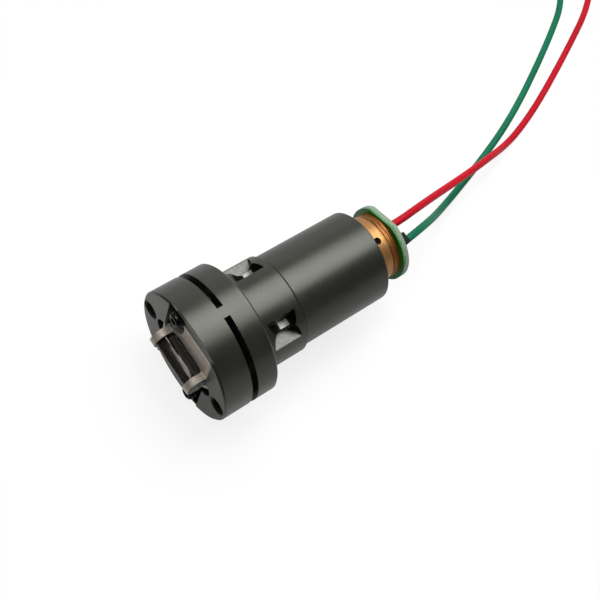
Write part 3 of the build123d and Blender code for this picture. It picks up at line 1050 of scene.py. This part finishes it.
@dataclass
class SolderJoints:
    """Solder cones behind the board: two that the wires leave and three round the diode's leads."""

    solder: Finish
    wire_rings: Pairs = (
        (0.8, 0.0), (0.79, 0.06), (0.74, 0.17), (0.66, 0.3),
        (0.59, 0.42), (0.545, 0.52), (0.53, 0.6),
    )
    lead_rings: Pairs = (
        (0.55, 0.0), (0.54, 0.03), (0.44, 0.08), (0.34, 0.18), (0.285, 0.3),
        (0.26, 0.42), (0.24, 0.5), (0.17, 0.57), (0.06, 0.6),
    )

    def build(self) -> None:
        """Makes the joints of both kinds."""
        self.row("wire", self.wire_rings, WIRE_SPOTS)
        self.row("lead", self.lead_rings, LEAD_SPOTS)

    def row(self, kind: str, rings: Pairs, spots: Pairs) -> None:
        """Makes the joints of one kind, round what is soldered."""
        joints = studs(f"{kind}_joints", 40, rings, spots, 50.0)
        joints.hand_over(self.solder, "solder", f"{kind}_solder", smooth=70.0)


@dataclass
class BoardTop:
    """Pads, tracks and through holes on the rear of the board, and the three components there."""

    copper: Finish
    tin: Finish
    track: Finish
    package: Finish
    ceramic: Finish
    film: float = 0.03
    holes: Pairs = (
        (-2.2, 3.2), (-2.3, 1.2), (2.6, -2.3), (3.3, -0.6),
        (-1.9, -2.6), (0.5, 3.4), (-3.9, 1.0), (1.9, -3.6),
    )
    chip_size: Point = (1.62, 0.66, 0.62)
    chip_middle: Point = (2.05, BOARD_REAR + 0.5, 3.8)
    leg_size: Point = (0.26, 0.1, 0.12)
    leg_bends: tuple[Point, ...] = ((0, 0, -0.07), (0, -0.36, -0.03), (0, -0.02, -0.16))
    leg_sides: tuple[float, ...] = (1.5, 2.05, 2.6)
    leg_lift: float = 0.46
    leg_height: float = 3.53
    plating: float = 0.05

    def build(self) -> None:
        """Makes the board's own metal, then the components."""
        self.tracks()
        self.pads()
        self.chip()
        self.two_ended("sense_resistor", (0.8, 0.45, 1.6), (-3.2, -0.6), self.package, "chip_black")
        self.two_ended("filter_capacitor", (2.0, 0.9, 1.25), (0.2, -3.3), self.ceramic, "capacitor_tan")

    def strip(self, start: Pair, end: Pair, width: float = 0.24) -> Workpiece:
        """A round-ended track between two places on the board.

        Args:
            start: First place, as x and z.
            end: Second place.
            width: The track's width.

        Returns:
            The track.
        """
        run = math.dist(start, end)
        middle = ((start[0] + end[0]) / 2, BOARD_REAR + self.film / 2, (start[1] + end[1]) / 2)
        bar = block("track", (run + width, width, self.film), (0, 0, 0))
        bar.bevel(width * 0.48, 4, lambda one, two: (one - two).xy.length < 1e-4)
        slope = math.degrees(math.atan2(end[1] - start[1], end[0] - start[0]))
        return bar.move(roll=slope).move(middle, (0, -1, 0))

    def tracks(self) -> None:
        """Lays the tracks that join the pads, raised under the green resist."""
        runs = (
            ((-0.7, 2.0), (-2.3, 1.2), (-3.2, 0.0)),
            ((-3.2, -1.2), (-1.9, -2.6), (-0.5, -3.3)),
            ((-1.27, 0.0), (-2.5, -0.9)),
            ((0.0, -1.27), (0.0, -2.4)),
            ((0.9, -3.3), (2.6, -2.3), (3.3, -0.6), (3.0, 1.2), (2.05, 1.9)),
            ((1.27, 0.0), (1.5, 1.0)),
            ((-0.7, 2.0), (0.5, 3.4), (1.3, 3.8)),
        )
        first, *others = [self.strip(*ends) for run in runs for ends in zip(run, run[1:])]
        first.body.name = "board_tracks"
        first.join(*others).hand_over(self.track, "board_green")

    def pads(self) -> None:
        """Sets the round pads and the small plated holes."""
        film, lip = self.film, self.film + 0.01
        wire_rings = [(0.95, 0), (0.95, film), (0.9, lip)]
        lead_rings = [(0.68, 0), (0.68, film), (0.64, lip)]
        hole_rings = [(0.2, 0), (0.2, 0.04), (0.18, 0.05), (0.1, 0.05), (0.09, 0.01)]
        pads = studs("board_pads", 40, wire_rings, WIRE_SPOTS)
        pads.join(studs("pad", 32, lead_rings, LEAD_SPOTS), studs("hole", 24, hole_rings, self.holes))
        pads.hand_over(self.copper, "solder")

    def chip(self) -> None:
        """Moulds the driver's body and bends its legs."""
        body = block("driver_chip_body", self.chip_size, (0, 0, 0))
        with body.editing(faces=lambda centre, normal: normal.y > 0.5):
            bpy.ops.transform.resize(value=(0.9, 1.0, 0.84), center_override=(0, self.chip_size[1] / 2, 0))
        body.bevel(0.045, 2, every).move(self.chip_middle)
        body.hand_over(self.package, "chip_black", "driver_chip")
        leg = block("driver_chip_legs", self.leg_size, (0, 0, 0))
        for fall in self.leg_bends:
            with leg.editing(faces=self.foremost(leg)):
                bpy.ops.mesh.extrude_region_move(TRANSFORM_OT_translate={"value": fall})
        leg.close().bevel(0.015, 1, every)
        leg.repeat([(x, BOARD_REAR + self.leg_lift, self.leg_height) for x in self.leg_sides])
        leg.hand_over(self.tin, "solder")

    @staticmethod
    def foremost(leg: Workpiece) -> Test:
        """Chooses the end face of a leg that is being drawn towards the board and outwards."""
        end = min(corner.co.z for corner in leg.body.data.vertices) + 0.02
        return lambda centre, normal: centre.z < end and normal.z < -0.7

    def two_ended(self, node: str, size: Point, place: Pair, finish: Finish, slot: str) -> None:
        """A chip component with a metal cap at each end.

        Args:
            node: The node that it stands for.
            size: Its size along x, y and z.
            place: Its middle on the board, as x and z.
            finish: The finish of its body.
            slot: The record's material slot of its body.
        """
        (x, z), (long, high, wide) = place, size
        level = BOARD_REAR + high / 2
        body = block(f"{node}_part", tuple(side - self.plating for side in size), (x, level, z))
        body.bevel(0.04, 2, every).hand_over(finish, slot, node)
        if long > wide:
            cap_size, shifts = (0.3 * long, high, wide), [(0.36 * long, 0), (-0.36 * long, 0)]
        else:
            cap_size, shifts = (long, high, 0.25 * wide), [(0, 0.36 * wide), (0, -0.36 * wide)]
        caps = block(f"{node}_part_caps", cap_size, (0, 0, 0)).bevel(0.07, 3, every)
        caps.repeat([(x + across, level, z + up) for across, up in shifts])
        caps.hand_over(self.tin, "solder")


@dataclass
class Lead:
    """An insulated wire that leaves the board, droops to the table and lies there, with a tinned end."""

    colour: str
    insulation: Finish
    tinned: Finish
    route: Sequence[Point]
    length: float
    diameter: float = 1.0
    strand: float = 0.075
    bared: float = 3.96
    twist: float = 300.0

    def build(self) -> bpy.types.Object:
        """Lays the wire along its route.

        Returns:
            The wire, a curve of one spline.
        """
        name = f"{self.colour}_lead"
        curve = bpy.data.curves.new(name, "CURVE")
        curve.dimensions = "3D"
        curve.bevel_depth = self.diameter / 2 * MM
        curve.bevel_resolution = 7
        curve.use_fill_caps = True
        spline = curve.splines.new("NURBS")
        spline.points.add(len(self.route) - 1)
        for point, place in zip(spline.points, self.route):
            point.co = (*metres(place), 1.0)
        spline.order_u = 3
        spline.use_endpoint_u = True
        spline.resolution_u = 16
        wire = bpy.data.objects.new(name, curve)
        bpy.context.scene.collection.objects.link(wire)
        self.insulation.dress(wire)
        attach(wire, "root")
        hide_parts(f"{self.colour}_wire")
        self.tip()
        return wire

    def tip(self) -> bpy.types.Object:
        """Twists seven tinned strands that go on straight from the end of the insulation.

        Returns:
            The strands, one piece.
        """
        start, end = (Vector(point) for point in self.route[-2:])
        name, add = f"{self.colour}_lead_strands", bpy.ops.mesh.primitive_circle_add
        away = (2.05 * self.strand, 0, 0)
        outer = Workpiece(name, add, vertices=10, radius=self.strand, fill_type="NOTHING", location=away)
        turn = math.radians(self.twist)
        outer.apply("SCREW", axis="Z", angle=turn, screw_offset=self.bared, steps=40, render_steps=40)
        outer.close()
        others = [outer.copy().move(roll=60.0 * number) for number in range(1, 6)]
        middle = disc("strand", self.strand, 10).rise([(1, 0), (1, 2.0), (1, 3.9), (0.6, 3.97)]).close()
        outer.join(middle, *others)
        outer.move(tuple(end), tuple((end - start).normalized()))
        return outer.hand_over(self.tinned, "solder", f"{self.colour}_wire_tip", smooth=60.0)


LYING = TABLE_HEIGHT + 0.5
WIRE_START = BOARD_REAR + 0.6

RED_ROUTE = [
    (-0.7, WIRE_START, 2.0),
    (-0.7, 13.2, 2.0),
    (-1.03, 16.0, 1.64),
    (-1.59, 19.85, 0.51),
    (-2.17, 23.8, -0.97),
    (-2.8, 28.4, -2.5),
    (-3.41, 32.7, -3.6),
    (-4.1, 36.6, -5.0),
    (-4.9, 40.35, -7.0),
    (-5.92, 44.6, LYING),
    (-7.99, 50.4, LYING),
    (-11.2, 57.6, LYING),
    (-14.76, 65.05, LYING),
    (-18.49, 72.4, LYING),
    (-23.6, 78.6, LYING),
    (-30.0, 81.8, LYING),
]
GREEN_ROUTE = [
    (2.05, WIRE_START, 1.9),
    (1.79, 13.0, 1.9),
    (1.34, 15.5, 1.21),
    (0.47, 18.95, -1.1),
    (-0.57, 22.25, -4.24),
    (-1.53, 25.25, -6.48),
    (-2.55, 28.55, -7.7),
    (-3.78, 32.5, LYING),
    (-5.18, 36.8, LYING),
    (-7.18, 42.4, LYING),
    (-9.97, 48.75, LYING),
    (-13.59, 55.75, LYING),
    (-17.31, 62.5, LYING),
    (-21.3, 69.0, LYING),
    (-27.4, 73.8, LYING),
    (-34.2, 75.8, LYING),
]


def main() -> None:
    """Builds the studio, models the small pieces and dresses the rest."""
    logging.basicConfig(level=logging.INFO, format="%(name)s %(message)s")
    studio = Studio()
    studio.place_camera()
    solder = Metal("solder", (0.42, 0.42, 0.41), (0.72, 0.72, 0.70), 0.25)
    red = Insulation("red_insulation", srgb(158, 1, 26), srgb(188, 4, 36), 0.42)
    green = Insulation("green_insulation", srgb(0, 88, 62), srgb(2, 112, 80), 0.42)
    for lead in (Lead("red", red, solder, RED_ROUTE, 81.0), Lead("green", green, solder, GREEN_ROUTE, 80.2)):
        log.info("made %s", lead.build().name)
    studio.set_up()
    steel = BlackSteel()
    anodised = Anodised()
    brass = Brass()
    gold = Metal("gold_plate", (0.75, 0.52, 0.2), (0.95, 0.74, 0.36), 0.2)
    tin = Metal("tin_plate", (0.55, 0.55, 0.53), (0.78, 0.78, 0.76), 0.3)
    lens_glass = LensGlass()
    chip = Moulded("chip_black", (0.004, 0.004, 0.004), (0.012, 0.012, 0.012), 0.55)
    ceramic = Moulded("ceramic_tan", (0.18, 0.10, 0.045), (0.28, 0.17, 0.08), 0.55)
    resist = Moulded("raised_resist", srgb(20, 96, 26), srgb(44, 138, 50), 0.55)
    copper = Metal("pad_copper", (0.70, 0.50, 0.28), (0.88, 0.70, 0.42), 0.3)
    FrontScrews(steel, anodised).build()
    RodLens(RodGlass()).build()
    GlueDabs(ClearGlue()).build()
    HousingScrew(steel).build()
    SolderJoints(solder).build()
    BoardTop(copper, tin, resist, chip, ceramic).build()
    dressed = {
        "flexure_head": anodised,
        "barrel": anodised,
        "lens_seat": SeatMetal(),
        "laser_housing": brass,
        "lens_cell": brass,
        "collimating_lens": lens_glass,
        "diode_window": lens_glass,
        "cell_spring": Metal("spring_wire", (0.4, 0.4, 0.4), (0.6, 0.6, 0.6), 0.25),
        "diode_base": gold,
        "diode_leads": gold,
        "diode_cap": Metal("nickel_plate", (0.55, 0.52, 0.48), (0.75, 0.72, 0.68), 0.2),
        "circuit_board": Laminate(),
    }
    for name, finish in dressed.items():
        finish.dress(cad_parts[name])
        log.info("dressed %s", name)


if __name__ == "__main__":
    main()
